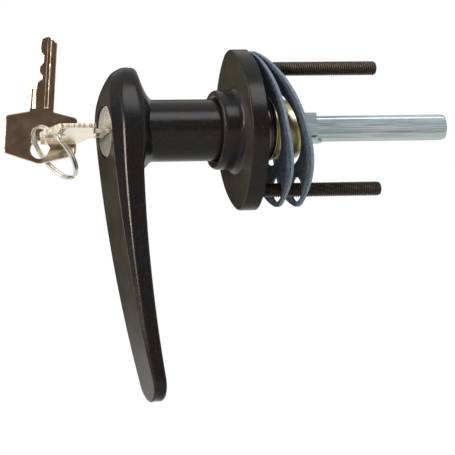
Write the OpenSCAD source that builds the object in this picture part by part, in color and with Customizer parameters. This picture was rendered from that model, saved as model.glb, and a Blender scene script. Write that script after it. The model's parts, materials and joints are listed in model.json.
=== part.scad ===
// Locking lever handle for a cab door, with its flange, studs, spindle, lock, keys and gaskets.
// Millimetres. The origin is on the spindle axis at the flange's back face.
// +X runs into the door, +Z is up, and the lever hangs down.

/* [Lever] */
// Height of the lever's top above the spindle axis
lever_top = 22.4; // [18:0.1:28]
// Length of the lever from the spindle axis down to its tip
lever_drop = 94.1; // [70:0.1:120]
// Distance from the door face out to the front of the lever
lever_reach = 52.8; // [50:0.1:60]
// Half width of the lever's edge line at the spindle axis
head_half = 12; // [11.5:0.1:14]
// Half width of the lever's edge line at the tip
tip_half = 7.6; // [6:0.1:10]
// Height of the rounded end at the tip
tip_round = 6.5; // [4:0.5:10]
// Radius of the long front curve
front_curve = 525; // [300:5:700]
// Radius of the curl at the top of the head
crown_curve = 30; // [26:0.5:40]
// Height at which the front stands out furthest
crown_level = 4.9; // [0:0.1:6]
// Depth of the front bevel at the spindle axis
bevel_deep = 4.3; // [3:0.1:5]
// Depth of the front bevel at the tip
bevel_deep_tip = 0.4; // [0.3:0.1:1.5]
// Width that the front bevel takes off each side at the spindle axis
bevel_side = 1.9; // [1:0.1:3]
// Width that the front bevel takes off each side at the tip
bevel_side_tip = 0.6; // [0.4:0.1:1.5]
// Depth of the lever's flat side at the spindle axis
side_deep = 6.8; // [5:0.1:8]
// Depth of the lever's flat side at the tip
side_deep_tip = 4.2; // [3:0.1:6]
// Depth of the front bevel at the top of the head
bevel_deep_top = 3; // [2:0.1:4]
// Depth of the flat side at the top of the head
side_deep_top = 5.2; // [3:0.1:7]
// Rounding of the lever's back edge
back_round = 1.6; // [0.8:0.1:2]

/* [Neck] */
// Diameter of the neck
neck_d = 21.3; // [20.6:0.1:22]
// Radius of the blend from the neck into the back of the lever
neck_blend = 4; // [1:0.1:5]
// Height of the sloping blend from the neck up to the top of the head
crown_blend_h = 12; // [6:0.5:13]
// Length of the sloping blend along the neck
crown_blend_l = 6.8; // [4:0.1:8]
// Diameter of the spigot behind the flange
spigot_d = 18.7; // [17:0.1:19]
// Distance that the spigot stands behind the door face
spigot_end = 15.4; // [14:0.1:18]

/* [Flange] */
// Half length of the oval flange
flange_half_l = 28.2; // [27.5:0.1:34]
// Half width of the oval flange
flange_half_w = 21; // [18:0.1:24]
// Radius of the flange's ends
flange_end_r = 11; // [9:0.1:14]
// Thickness of the flange plate
flange_t = 6.1; // [5.5:0.1:8]
// Rounding of the flange's front edge
flange_round = 0.9; // [0.5:0.1:2.2]
// Diameter of the boss
boss_d = 27.4; // [26:0.1:30]
// Length of the boss ahead of the plate
boss_l = 7.4; // [6:0.1:12]
// Radius of the blend between boss and plate
boss_blend = 2.2; // [1:0.1:3]
// Rounding of the boss's front edge
boss_round = 1.6; // [1:0.1:2.2]

/* [Studs and spindle] */
// Distance between the two studs
stud_spacing = 43; // [41:0.5:46]
// Diameter of the studs
stud_d = 5; // [4:0.5:6]
// Distance that the upper stud stands behind the door face
upper_stud_reach = 47.6; // [30:0.1:80]
// Distance that the lower stud stands behind the door face
lower_stud_reach = 45.4; // [30:0.1:80]
// Depth that the studs are set into the flange
stud_set = 4; // [3:0.1:4.5]
// Diameter of a stud's root inside the flange
stud_root_d = 6; // [5.2:0.1:7]
// Width across the flats of the square spindle
spindle_w = 8; // [7:0.1:9]
// Chamfer on the spindle's long edges
spindle_edge = 1.2; // [0.4:0.1:1.6]
// Distance that the spindle stands behind the door face
spindle_reach = 70.7; // [45:0.1:120]
// Diameter of the cross pin
pin_d = 3; // [2:0.1:3.5]
// Distance of the cross pin behind the door face
pin_x = 8.9; // [7:0.1:10.5]
// Sheet thickness of the spindle collar
collar_t = 0.8; // [0.6:0.1:1]
// Length of the spindle collar
collar_l = 6.4; // [5:0.1:14]

/* [Cup and washers] */
// Wall thickness of the cup
cup_t = 0.9; // [0.7:0.1:1.2]
// Start of the cup behind the door face
cup_x = 5.9; // [5.8:0.1:8]
// Thickness of the flat washers
washer_t = 1.5; // [1:0.1:1.6]
// Outer diameter of the washers
washer_d = 24.4; // [23:0.1:26]
// Strip thickness of the wave washer
wave_t = 0.6; // [0.4:0.1:0.8]

/* [Gaskets] */
// Thickness of the gaskets
gasket_t = 1; // [0.8:0.1:1.5]
// Diameter of the hole in the middle of a gasket
gasket_hole = 25.5; // [25:0.1:28]
// Diameter of the stud holes in a gasket
gasket_stud_hole = 8.6; // [8:0.1:10]
// Width of the band round a gasket's stud hole
gasket_band = 1.7; // [1.5:0.1:3]
// Half width of a gasket
gasket_half_w = 19.5; // [17:0.1:21]
// Height of the gaskets' middle above the spindle axis
gasket_lift = 0.2; // [0:0.1:0.4]
// Place of the front gasket on the spindle axis
front_gasket_x = 6.6; // [6:0.1:8]
// Lean of the front gasket, in degrees
front_gasket_lean = 7; // [6:0.1:8]
// Radius that the front gasket is bowed to
front_gasket_bow = 206; // [150:1:400]
// Place of the rear gasket on the spindle axis
rear_gasket_x = 13.2; // [13.2:0.1:15]
// Lean of the rear gasket, in degrees
rear_gasket_lean = 13.9; // [11:0.1:13.9]
// Radius that the rear gasket is bowed to
rear_gasket_bow = 115; // [115:1:400]

/* [Lock] */
// Outer diameter of the lock barrel
barrel_d = 16; // [15:0.1:16.5]
// Length of the lock barrel
barrel_l = 20.5; // [20:0.1:23]
// Diameter of the lock plug
plug_d = 12; // [11.6:0.1:12.4]
// Diameter of the plug's head
plug_head_d = 17.6; // [17:0.1:18]
// Thickness of the plug's head
plug_head_t = 1.2; // [1:0.1:1.6]
// Thickness of the face cap
face_cap_t = 0.5; // [0.3:0.1:0.8]
// Depth of the face cap below the front of the lever
face_set = 0.5; // [0.3:0.1:1]
// Thickness of a wafer
wafer_t = 0.9; // [0.6:0.1:1]
// Distance between wafers
wafer_pitch = 3.2; // [3:0.1:3.4]
// Distance from the plug's head to the first wafer
wafer_start = 4.6; // [4:0.1:5]
// Offset of the crank pin from the axis
crank_offset = 2; // [1.6:0.1:2.2]
// Diameter of the crank pin
crank_d = 2.4; // [2:0.1:2.8]
// Thickness of the lock bolt
bolt_t = 3.6; // [3:0.1:3.8]
// Width of the lock bolt
bolt_w = 9; // [8.4:0.1:9.6]
// Wall of the neck behind the lock bolt
bolt_wall = 0.8; // [0.6:0.1:1]

/* [Keys] */
// Thickness of a key
key_t = 1.6; // [1.4:0.1:2.1]
// Width of a key's bow
bow_w = 25; // [20:0.1:28]
// Length of the straight side of the bow
bow_side = 13; // [10:0.1:16]
// Height of the bow's pointed end
bow_point = 3.6; // [2:0.1:5]
// Height of the bow's shoulder slope
bow_slope = 1.8; // [1:0.1:3]
// Rounding of the bow's corners
bow_round = 1.2; // [0.6:0.1:2]
// Diameter of the hole in the bow
bow_hole = 6.2; // [5.2:0.1:6.4]
// Distance from the bow's point to the middle of its hole
bow_hole_in = 5; // [4.6:0.1:6]
// Length of the stem between bow and stop
stem_l = 7.8; // [5:0.1:10]
// Width of the stem with its stop
stem_w = 8.2; // [7.6:0.1:9]
// Depth that the stem's stop goes into the lock
key_seat = 2.9; // [1.5:0.1:3.4]
// Distance of the keyway below the middle of the lock
key_drop = 0.9; // [0:0.1:1]
// Length of the blade beyond the stop
blade_l = 18.8; // [17:0.1:19.5]
// Height of the blade
blade_h = 6.4; // [6:0.1:7.2]
// Depth of the cuts in the blade
cut_deep = 1.9; // [0.8:0.1:2.2]

/* [Ring and spare key] */
// Diameter of the key ring at the middle of its wire
ring_d = 21; // [19:0.1:23]
// Radial width of the ring's wire
ring_wire = 1; // [0.8:0.1:1.2]
// Height of the ring's two turns
ring_h = 1.7; // [1.4:0.1:2]

/* [Hidden] */
// Clearance of a running fit on the radius
run_gap = 0.05;
// Clearance round sliding and loose pieces
slide_gap = 0.15;
// Clearance between faces that only come near each other
face_gap = 0.3;
$fn = 64;

// Facets of the bowed gaskets
bow_sides = 360;

// Lever outline
lever_stations = 14;
crown_steps = 10;
blend_sides = 48;
blend_power = 0.9;
tip_level = -lever_drop + tip_round;

// Lock places along the axis, measured from the door face
face_x = -lever_reach + face_set;
plug_head_x = face_x + face_cap_t;
barrel_x = plug_head_x + plug_head_t + slide_gap;
barrel_end = barrel_x + barrel_l;
clip_t = 0.8;
clip_x = barrel_end + slide_gap;
plug_end = clip_x + clip_t + 1.2;
lock_bore_end = plug_end + 1;
tail_edge = 0.2;
tail_d = 2 * (crank_offset + tail_edge) + crank_d;
bolt_x = -bolt_wall - bolt_t;
tail_end = bolt_x - face_gap;
crank_end = -bolt_wall - face_gap;
bolt_travel = crank_offset * sqrt(2);
bolt_r = neck_d / 2 - 0.1;
bolt_back = 5.2;
notch_r = bolt_r + bolt_travel + face_gap;

// Keyway and wafers
keyway_w = key_t + 2 * slide_gap;
keyway_h = blade_h + 2 * slide_gap;
stem_way_h = stem_w + 2 * slide_gap;
blade_side = (stem_w - blade_h) / 2;
wafer_w = 5.5;
wafer_l = 10.2;
wafer_window_w = keyway_w + 0.2;
wafer_window_h = keyway_h + 0.2;
wafer_slot_gap = 0.1;
wafer_count = 5;
ear_w = 1.5;
ear_h = 1.2;
ear_y = -0.6;
spring_wire = 0.3;
spring_d = 1.5;
spring_l = 3;
spring_turns = 4;

// Key lengths
bow_l = bow_point + bow_side + bow_slope;
key_stop_x = face_x + key_seat - slide_gap;
key_hole_x = key_stop_x - stem_l - bow_l + bow_hole_in;

// Rear stack
spindle_root = 0.6;
spindle_gap = 0.05;
cup_in_r = spigot_d / 2;
cup_out_r = cup_in_r + cup_t;
cup_end = spigot_end + cup_t + 0.1;
cup_lip = 0.5;
washer_in = spigot_d / 2 + slide_gap;
wave_x = face_gap / 6 + washer_t;
wave_h = cup_x - wave_x - 2 * washer_t - 0.1;
rear_washer_x = wave_x + wave_h;
spacer_x = rear_washer_x + washer_t;
wave_count = 3;

// Ring and spare key as they hang, from the hole of the key in the lock
ring_tilt = 54.3;
ring_turn = 4.5;
ring_centre = [2.88, 10.68, -3.9];
spare_hole = [0.14, 19.73, -0.94];
spare_turn = [1.2, 7.5, -18.6];

// A round bar along X from x0 to x1
module bar(x0, x1, r) {
    translate([x0, 0, 0])
        rotate([0, 90, 0])
            cylinder(r = r, h = x1 - x0);
}

// A profile of [radius, x] points turned round the X axis
module turned(points) {
    rotate([0, 90, 0])
        rotate_extrude()
            polygon(points);
}

// A flat shape drawn in Y and Z, extruded along X from x0 to x1
module slab(x0, x1) {
    translate([x0, 0, 0])
        rotate([90, 0, 90])
            linear_extrude(x1 - x0)
                children();
}

// Points of an arc, as [radius, x] pairs for turned profiles
function arc(r, x, size, from, to, steps = 6) = [
    for (i = [0 : steps])
        let (a = from + (to - from) * i / steps)
        [r + size * cos(a), x + size * sin(a)]
];

// Lofts a closed solid through rings that all have the same number of points.
// Each ring runs down one side and up the other, so the two ends close by joining opposite points.
module lofted(rings) {
    n = len(rings[0]);
    last = len(rings) - 1;
    half = n / 2;
    sides = [
        for (j = [0 : last - 1], i = [0 : n - 1])
            let (a = j * n + i, b = j * n + (i + 1) % n)
            each [[a, b, b + n], [a, b + n, a + n]]
    ];
    first_cap = [
        for (i = [0 : half - 1])
            let (a = i, b = i + 1, c = (n - i - 1) % n, d = (n - i) % n)
            each concat(b == c ? [] : [[a, c, b]], a == d ? [] : [[a, d, c]])
    ];
    last_cap = [
        for (f = first_cap)
            [f[0] + last * n, f[2] + last * n, f[1] + last * n]
    ];
    polyhedron([for (r = rings) each r], concat(sides, first_cap, last_cap));
}

// Lever form

// Share of the way from the spindle axis to the tip at height z
function down(z) = max(0, -z / lever_drop);

// A size that changes evenly from the spindle axis to the tip
function taper(head, tip, z) = head + (tip - head) * down(z);

// Distance of the front centre line ahead of the door face at height z
function front_x(z) = -lever_reach + (z < crown_level
    ? pow(z - crown_level, 2) / (2 * front_curve)
    : crown_curve - sqrt(pow(crown_curve, 2) - pow(z - crown_level, 2)));

// Stations of the lever's edge line from the top to the tip, as [half width, height]
lever_edge = concat(
    [for (i = [0 : crown_steps])
        let (a = 90 - 90 * i / crown_steps)
        [head_half * cos(a), lever_top * sin(a)]],
    [for (i = [1 : lever_stations])
        let (z = tip_level * i / lever_stations)
        [taper(head_half, tip_half, z), z]],
    [for (i = [1 : crown_steps])
        let (a = 90 * i / crown_steps, z = tip_level - tip_round * sin(a))
        [taper(head_half, tip_half, tip_level) * cos(a), z]]
);

// Depth of the flat side at height z, shallower over the crown
function side_at(z) = z > 0
    ? side_deep - (side_deep - side_deep_top) * pow(z / lever_top, 2)
    : taper(side_deep, side_deep_tip, z);

// Depth of the bevel at height z, shallower over the crown
function bevel_at(z) = z > 0
    ? bevel_deep - (bevel_deep - bevel_deep_top) * pow(z / lever_top, 2)
    : taper(bevel_deep, bevel_deep_tip, z);

// Height of an outline station after the outline shrinks by inset
function inset_z(z, inset) = z > 0
    ? z * (lever_top - inset) / lever_top
    : z * (lever_drop - inset) / lever_drop;

// A ring of the lever: every station pulled in by a share of its half width,
// at a depth given as shares of bevel and side
function lever_ring(front_inset, back_inset, bevel_share, side_share) = let (
    side = [for (p = lever_edge)
        let (
            inset = front_inset * taper(bevel_side, bevel_side_tip, p[1]) + back_inset,
            full = taper(head_half, tip_half, p[1]),
            z = inset_z(p[1], inset),
            x = front_x(z) + bevel_share * bevel_at(p[1]) + side_share * side_at(p[1])
        )
        [x, p[0] * (full - inset) / full, z]]
) concat(side, [for (i = [len(side) - 2 : -1 : 1]) [side[i][0], -side[i][1], side[i][2]]]);

module lever_body() {
    lofted([
        lever_ring(1, 0, 0, 0),
        lever_ring(0, 0, 1, 0),
        lever_ring(0, 0.2, 1, 1 - back_round / side_deep),
        lever_ring(0, 0.2 + back_round * 0.3, 1, 1 - 0.3 * back_round / side_deep),
        lever_ring(0, 0.2 + back_round, 1, 1)
    ]);
}

// Back of the lever on the spindle axis
lever_back = front_x(0) + bevel_deep + side_deep - 0.6;

// Plain outline of the head, for trimming the neck's blend
module head_outline() {
    polygon([for (p = lever_ring(0, 0.4, 1, 1)) [p[1], p[2]]]);
}

// Height of the neck's blend at angle a from straight up: tall over the top, small elsewhere
function blend_at(a) = neck_blend + (crown_blend_h - neck_blend) * pow(max(0, cos(a)), 2);

// One ring of the blend between neck and head, at share t of its length
function blend_ring(t) = [
    for (i = [0 : blend_sides - 1])
        let (a = 360 * i / blend_sides, r = neck_d / 2 - face_gap + blend_at(a) * pow(1 - t, blend_power))
        [lever_back + t * crown_blend_l, r * sin(a), r * cos(a)]
];

module neck_body() {
    blend_steps = 6;
    intersection() {
        lofted([for (i = [-2 : blend_steps]) blend_ring(i / blend_steps)]);
        slab(lever_back - crown_blend_l, lever_back + crown_blend_l + 1)
            head_outline();
    }
    bar(lever_back - 1, 0, neck_d / 2);
    bar(-1, spigot_end, spigot_d / 2);
}

module handle_lever() {
    color("#26241f")
    difference() {
        union() {
            lever_body();
            neck_body();
        }
        bar(-lever_reach - 2, barrel_x, plug_head_d / 2 + slide_gap * 2);
        bar(barrel_x - 1, lock_bore_end, barrel_d / 2);
        bar(lock_bore_end - 1, bolt_x, tail_d / 2 + slide_gap);
        bolt_channel();
        square_bar(spindle_root, spigot_end + 1, spindle_w + 2 * spindle_gap, 0);
        cross_bore();
    }
}

// Channel in the neck that the lock bolt slides in
module bolt_channel() {
    top = bolt_back + slide_gap * 2;
    translate([bolt_x - slide_gap, -bolt_w / 2 - slide_gap, -neck_d])
        cube([bolt_t + 2 * slide_gap, bolt_w + 2 * slide_gap, neck_d + top]);
}

module cross_bore() {
    translate([pin_x, 0, -spigot_d])
        cylinder(d = pin_d, h = 2 * spigot_d);
}

// A square bar along X with chamfered long edges
module square_bar(x0, x1, w, edge) {
    h = w / 2;
    e = h - edge;
    slab(x0, x1)
        polygon(edge > 0
            ? [[h, e], [e, h], [-e, h], [-h, e], [-h, -e], [-e, -h], [e, -h], [h, -e]]
            : [[h, h], [-h, h], [-h, -h], [h, -h]]);
}

// Flange form

// One quarter-by-quarter ring of a four-arc oval with half length a, half width b and end radius r,
// drawn inwards by inset, at a given x, from the top down one side and up the other
function oval_ring(a, b, r, inset, x, steps = 12) = let (
    big = (b * b - r * r + (a - r) * (a - r)) / (2 * (b - r)),
    turn = atan2(a - r, big - b),
    upper = [for (i = [0 : steps])
        let (t = 90 - (90 - turn) * i / steps)
        [(r - inset) * cos(t), a - r + (r - inset) * sin(t)]],
    middle = [for (i = [1 : steps - 1])
        let (t = turn - turn * i / steps)
        [(big - inset) * cos(t) - (big - b), (big - inset) * sin(t)]],
    quarter = concat(upper, middle, [[b - inset, 0]]),
    lower = [for (i = [len(quarter) - 2 : -1 : 0]) [quarter[i][0], -quarter[i][1]]],
    side = concat(quarter, lower)
) concat(
    [for (p = side) [x, p[0], p[1]]],
    [for (i = [len(side) - 2 : -1 : 1]) [x, -side[i][0], side[i][1]]]
);

module flange_plate() {
    round_steps = 4;
    lofted(concat(
        [for (i = [0 : round_steps])
            let (t = 90 * i / round_steps)
            oval_ring(flange_half_l, flange_half_w, flange_end_r, flange_round * (1 - sin(t)),
                -flange_t + flange_round * (1 - cos(t)))],
        [oval_ring(flange_half_l, flange_half_w, flange_end_r, 0, -face_gap),
         oval_ring(flange_half_l, flange_half_w, flange_end_r, face_gap, 0)]
    ));
}

module boss() {
    r = boss_d / 2;
    front = -flange_t - boss_l;
    turned(concat(
        [[0, front], [r - boss_round, front]],
        arc(r - boss_round, front + boss_round, boss_round, 270, 360, 5),
        arc(r + boss_blend, -flange_t - boss_blend, boss_blend, 180, 90, 6),
        [[r + boss_blend, -flange_t + 1], [0, -flange_t + 1]]
    ));
}

module base_flange() {
    mouth = 1.2;
    front = -flange_t - boss_l;
    color("#211f1c")
    difference() {
        union() {
            flange_plate();
            boss();
        }
        bar(front - 1, 1, neck_d / 2 + run_gap);
        turned([[0, front - 1], [neck_d / 2 + mouth + 1, front - 1],
            [neck_d / 2, front + mouth], [0, front + mouth]]);
        bolt_notches();
        for (side = [-1, 1])
            translate([0, 0, side * stud_spacing / 2])
                bar(-stud_set, 1, stud_root_d / 2);
    }
}

// Four notches in the flange that the bolt can lock into, one at each quarter turn
module bolt_notches() {
    w = bolt_w + 2 * face_gap;
    depth = face_gap - bolt_x + 1;
    for (quarter = [0 : 3])
        rotate([90 * quarter, 0, 0])
            translate([bolt_x - face_gap, -w / 2, -notch_r])
                cube([depth, w, notch_r]);
}

// A stud with a thicker root that is pressed into the flange
module stud(side, reach) {
    r = stud_d / 2;
    tip = 1;
    color("#2b221d")
    translate([0, 0, side * stud_spacing / 2])
        turned([
            [0, -stud_set], [stud_root_d / 2, -stud_set], [stud_root_d / 2, 0], [r, 0],
            [r, reach - tip], [r - 0.4, reach - 0.3], [r - 1, reach], [0, reach]
        ]);
}

module upper_stud() {
    stud(1, upper_stud_reach);
}

module lower_stud() {
    stud(-1, lower_stud_reach);
}

// A loose oval gasket that leans on the studs and is bowed to a radius about a line along Y
module gasket(x, lean, bow) {
    end_r = gasket_stud_hole / 2 + gasket_band;
    half_l = stud_spacing / 2 + end_r;
    outer = bow + gasket_t / 2;
    color("#454d58")
    intersection() {
        slab(x - half_l, x + half_l)
            translate([0, gasket_lift])
                difference() {
                    polygon([for (p = oval_ring(half_l, gasket_half_w, end_r, 0, 0)) [p[1], p[2]]]);
                    circle(d = gasket_hole);
                    for (side = [-1, 1])
                        translate([0, side * stud_spacing / 2])
                            circle(d = gasket_stud_hole);
                }
        translate([x - bow * cos(lean), -flange_half_w, -bow * sin(lean)])
            rotate([-90, 0, 0])
                difference() {
                    cylinder(r = outer, h = 2 * flange_half_w, $fn = bow_sides);
                    translate([0, 0, -1])
                        cylinder(r = outer - gasket_t, h = 2 * flange_half_w + 2, $fn = bow_sides);
                }
    }
}

module front_gasket() {
    gasket(front_gasket_x, front_gasket_lean, front_gasket_bow);
}

module rear_gasket() {
    gasket(rear_gasket_x, rear_gasket_lean, rear_gasket_bow);
}

// Rear stack

module flat_washer(x) {
    difference() {
        bar(x, x + washer_t, washer_d / 2);
        bar(x - 1, x + washer_t + 1, washer_in);
    }
}

module front_thrust_washer() {
    color("#2c2a2b")
        flat_washer(wave_x - washer_t);
}

module rear_thrust_washer() {
    color("#2c2a2b")
        flat_washer(rear_washer_x);
}

module spacer_washer() {
    color("#353033")
    difference() {
        bar(spacer_x, spacer_x + washer_t, cup_out_r + cup_lip);
        bar(spacer_x - 1, spacer_x + washer_t + 1, washer_in);
    }
}

// Ring of sprung strip whose height follows a sine round the axis
module wave_washer() {
    steps = 72;
    swing = (wave_h - wave_t) / 2 - 0.02;
    middle = wave_x + wave_h / 2;
    inner = washer_in + 0.2;
    outer = washer_d / 2 - 0.3;
    points = [
        for (i = [0 : steps - 1])
            let (a = 360 * i / steps, x = middle + swing * sin(wave_count * a))
            for (c = [[inner, -1], [outer, -1], [outer, 1], [inner, 1]])
                [x + c[1] * wave_t / 2, c[0] * cos(a), c[0] * sin(a)]
    ];
    faces = [
        for (i = [0 : steps - 1], k = [0 : 3])
            let (a = 4 * i + k, b = 4 * i + (k + 1) % 4,
                c = 4 * ((i + 1) % steps) + (k + 1) % 4, d = 4 * ((i + 1) % steps) + k)
            each [[a, b, c], [a, c, d]]
    ];
    color("#2f2d30")
        polyhedron(points, [for (f = faces) [f[2], f[1], f[0]]]);
}

module retaining_cup() {
    color("#b89a52")
    difference() {
        turned([
            [0, cup_x], [cup_out_r + cup_lip, cup_x], [cup_out_r + cup_lip, cup_x + cup_t],
            [cup_out_r, cup_x + cup_t + cup_lip], [cup_out_r, cup_end - 1.2],
            [cup_out_r - 0.4, cup_end - 0.4], [cup_out_r - 1.2, cup_end], [0, cup_end]
        ]);
        bar(cup_x - 1, spigot_end + 0.1, cup_in_r);
        square_bar(spigot_end - 1, cup_end + 1, spindle_w + 2 * spindle_gap, 0);
    }
}

module spindle() {
    tip = 0.8;
    color("#b5c2c4")
    difference() {
        intersection() {
            square_bar(spindle_root, spindle_reach, spindle_w, spindle_edge);
            turned([
                [0, spindle_root], [spindle_w, spindle_root], [spindle_w, spindle_reach - spindle_w / 2],
                [spindle_w / 2 - tip, spindle_reach], [0, spindle_reach]
            ]);
        }
        cross_bore();
    }
}

// Folded sleeve round the root of the spindle, open in a slit along one edge, with a tab underneath
module spindle_collar() {
    w = spindle_w + 2 * spindle_gap;
    outer = w + 2 * collar_t;
    end = cup_end + collar_l;
    tab_l = 1.6;
    slit = 0.6;
    color("#c0cbcc")
    difference() {
        union() {
            square_bar(cup_end, end, outer, collar_t);
            translate([end - 1, 0, -w / 2 - collar_t])
                linear_extrude(collar_t)
                    translate([0, -w / 4])
                        square([tab_l, w / 2]);
            translate([end + tab_l - 1, 0, -w / 2 - collar_t])
                cylinder(d = w / 2, h = collar_t);
        }
        square_bar(cup_end - 1, end + tab_l + w, w, 0);
        translate([cup_end - 1, -w / 2 - collar_t - 1, -w / 2])
            cube([collar_l + 2, collar_t + 1, slit]);
    }
}

module cross_pin() {
    l = spigot_d - 0.6;
    color("#8f9698")
    translate([pin_x, 0, -l / 2])
        cylinder(d = pin_d, h = l);
}

// Lock

module lock_barrel() {
    groove = wafer_w + 2 * slide_gap;
    color("#b79f62")
    difference() {
        bar(barrel_x, barrel_end, barrel_d / 2);
        bar(barrel_x - 1, barrel_end + 1, plug_d / 2 + run_gap);
        translate([barrel_x + 1.2, -barrel_d / 2 + 1, -groove / 2])
            cube([barrel_l, barrel_d - 2, groove]);
    }
}

// Middle of wafer number i along the axis
function wafer_x(i) = plug_head_x + plug_head_t + wafer_start + wafer_pitch * i;

module wafer_plate(grow) {
    translate([-wafer_l / 2 - grow, -wafer_w / 2 - grow])
        square([wafer_l + 2 * grow, wafer_w + 2 * grow]);
    translate([ear_y - grow, 0])
        square([ear_h + 2 * grow, wafer_w / 2 + ear_w + grow]);
}

module wafer(i) {
    color("#c2a860")
    slab(wafer_x(i) - wafer_t / 2, wafer_x(i) + wafer_t / 2)
        difference() {
            wafer_plate(0);
            translate([-wafer_window_h / 2, -wafer_window_w / 2 - key_drop])
                square([wafer_window_h, wafer_window_w]);
        }
}

module wafer_1() {
    wafer(0);
}

module wafer_2() {
    wafer(1);
}

module wafer_3() {
    wafer(2);
}

module wafer_4() {
    wafer(3);
}

module wafer_5() {
    wafer(4);
}

spring_z = wafer_w / 2 + ear_w / 2;
spring_top = ear_y - 0.05;

// Pocket in the plug for one wafer spring
module spring_pocket(i) {
    translate([wafer_x(i), spring_top + 0.05, spring_z])
        rotate([90, 0, 0])
            cylinder(d = spring_d + 0.3, h = spring_l + 0.2, $fn = 24);
}

// Five coil springs, one under each wafer's ear
module wafer_springs() {
    color("#9aa0a3")
    for (i = [0 : wafer_count - 1])
        coil(wafer_x(i), spring_z);
}

module coil(x, z) {
    steps = 10 * spring_turns;
    sides = 5;
    r = (spring_d - spring_wire) / 2;
    run = spring_l - spring_wire;
    points = [
        for (s = [0 : steps], k = [0 : sides - 1])
            let (
                a = 360 * spring_turns * s / steps,
                b = 360 * k / sides,
                d = r + spring_wire / 2 * cos(b),
                y = spring_top - spring_wire / 2 - run * s / steps + spring_wire / 2 * sin(b)
            )
            [x + d * cos(a), y, z + d * sin(a)]
    ];
    tube = [
        for (s = [0 : steps - 1], k = [0 : sides - 1])
            let (a = s * sides + k, b = s * sides + (k + 1) % sides)
            each [[a, b + sides, b], [a, a + sides, b + sides]]
    ];
    polyhedron(points, concat(tube,
        [[for (k = [0 : sides - 1]) k], [for (k = [sides - 1 : -1 : 0]) steps * sides + k]]));
}

// Slot for the key: as high as the stem at the mouth, and as high as the blade further in
module keyway(end) {
    slab(face_x - 1, face_x + key_seat)
        translate([-stem_way_h / 2 - blade_side, -keyway_w / 2 - key_drop])
            square([stem_way_h, keyway_w]);
    slab(face_x - 1, end)
        translate([-keyway_h / 2, -keyway_w / 2 - key_drop])
            square([keyway_h, keyway_w]);
}

module lock_plug() {
    groove_r = plug_d / 2 - 1;
    color("#a5946a")
    difference() {
        union() {
            bar(plug_head_x, plug_head_x + plug_head_t, plug_head_d / 2);
            bar(plug_head_x, clip_x - 0.05, plug_d / 2);
            bar(plug_head_x, clip_x + clip_t + 0.1, groove_r);
            bar(clip_x + clip_t + 0.05, plug_end, plug_d / 2);
            bar(plug_end - 1, tail_end, tail_d / 2);
            translate([0, crank_offset * cos(45), crank_offset * sin(45)])
                bar(tail_end - 1, crank_end, crank_d / 2);
        }
        keyway(key_stop_x + blade_l + 1);
        for (i = [0 : wafer_count - 1]) {
            slab(wafer_x(i) - wafer_t / 2 - wafer_slot_gap, wafer_x(i) + wafer_t / 2 + wafer_slot_gap)
                union() {
                    wafer_plate(wafer_slot_gap);
                    translate([-plug_d, -wafer_w / 2 - wafer_slot_gap])
                        square([2 * plug_d, wafer_w + 2 * wafer_slot_gap]);
                }
            spring_pocket(i);
        }
    }
}

module plug_face_cap() {
    r = plug_head_d / 2;
    color("#a39c8e")
    difference() {
        turned([[0, face_x], [r - 0.5, face_x], [r, face_x + face_cap_t], [0, face_x + face_cap_t]]);
        keyway(face_x + 2);
    }
}

// Open spring clip in the plug's groove
module plug_clip() {
    color("#8f9698")
    difference() {
        bar(clip_x, clip_x + clip_t, plug_d / 2 + 1.1);
        bar(clip_x - 1, clip_x + 2, plug_d / 2 - 1 + 0.05);
        translate([clip_x - 1, -plug_d, -2.5])
            cube([3, plug_d, 5]);
    }
}

// Bolt that slides across the neck, with a slot for the crank pin
module lock_bolt() {
    slot_h = crank_d + 2 * slide_gap;
    slot_y0 = crank_offset * cos(45) - crank_d / 2 - slide_gap;
    slot_y1 = crank_offset + crank_d / 2 + slide_gap;
    color("#a9aeb0")
    difference() {
        intersection() {
            translate([bolt_x, -bolt_w / 2, -neck_d])
                cube([bolt_t, bolt_w, neck_d + bolt_back]);
            bar(bolt_x - 1, bolt_x + bolt_t + 1, bolt_r);
        }
        translate([bolt_x - 1, slot_y0, crank_offset * sin(45) - slot_h / 2])
            cube([bolt_t + 2, slot_y1 - slot_y0, slot_h]);
    }
}

// Keys

// Bitting of the blade, as [share of its length, share of the cuts' depth]
cuts = [
    [0.86, 0.35], [0.73, 0.35], [0.64, 1], [0.5, 1], [0.41, 0.35],
    [0.34, 0.35], [0.26, 0.95], [0.19, 0.95], [0.12, 0.1], [0.05, 0]
];

// Points that round a corner p, between its neighbours a and b, over a length l of each side
function eased(a, p, b, l) = let (
    p0 = p + l * (a - p) / norm(a - p),
    p1 = p + l * (b - p) / norm(b - p)
) [for (t = [0 : 0.25 : 1]) pow(1 - t, 2) * p0 + 2 * t * (1 - t) * p + t * t * p1];

// Outline of a key, with its stop at the origin and its blade along +X
module key_outline() {
    half = bow_w / 2;
    stem = stem_w / 2;
    slope_x = -stem_l - bow_slope;
    side_x = slope_x - bow_side;
    point_x = -stem_l - bow_l;
    low = stem - blade_h;
    nose = stem - blade_h * 0.45;
    nose_slope = 2.4;
    chin = 1;
    difference() {
        polygon(concat(
            eased([-stem_l, -stem], [slope_x, -half], [side_x, -half], bow_round),
            eased([slope_x, -half], [side_x, -half], [point_x, 0], bow_round),
            eased([side_x, -half], [point_x, 0], [side_x, half], bow_round),
            eased([point_x, 0], [side_x, half], [slope_x, half], bow_round),
            eased([side_x, half], [slope_x, half], [-stem_l, stem], bow_round),
            [[-stem_l, stem], [blade_l - nose_slope, stem]],
            [[blade_l, nose], [blade_l - chin, low + cut_deep * 0.6]],
            [for (c = cuts) [blade_l * c[0], low + cut_deep * c[1]]],
            [[0, low], [0, -stem], [-stem_l, -stem]]
        ));
        translate([point_x + bow_hole_in, 0])
            circle(d = bow_hole);
    }
}

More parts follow.
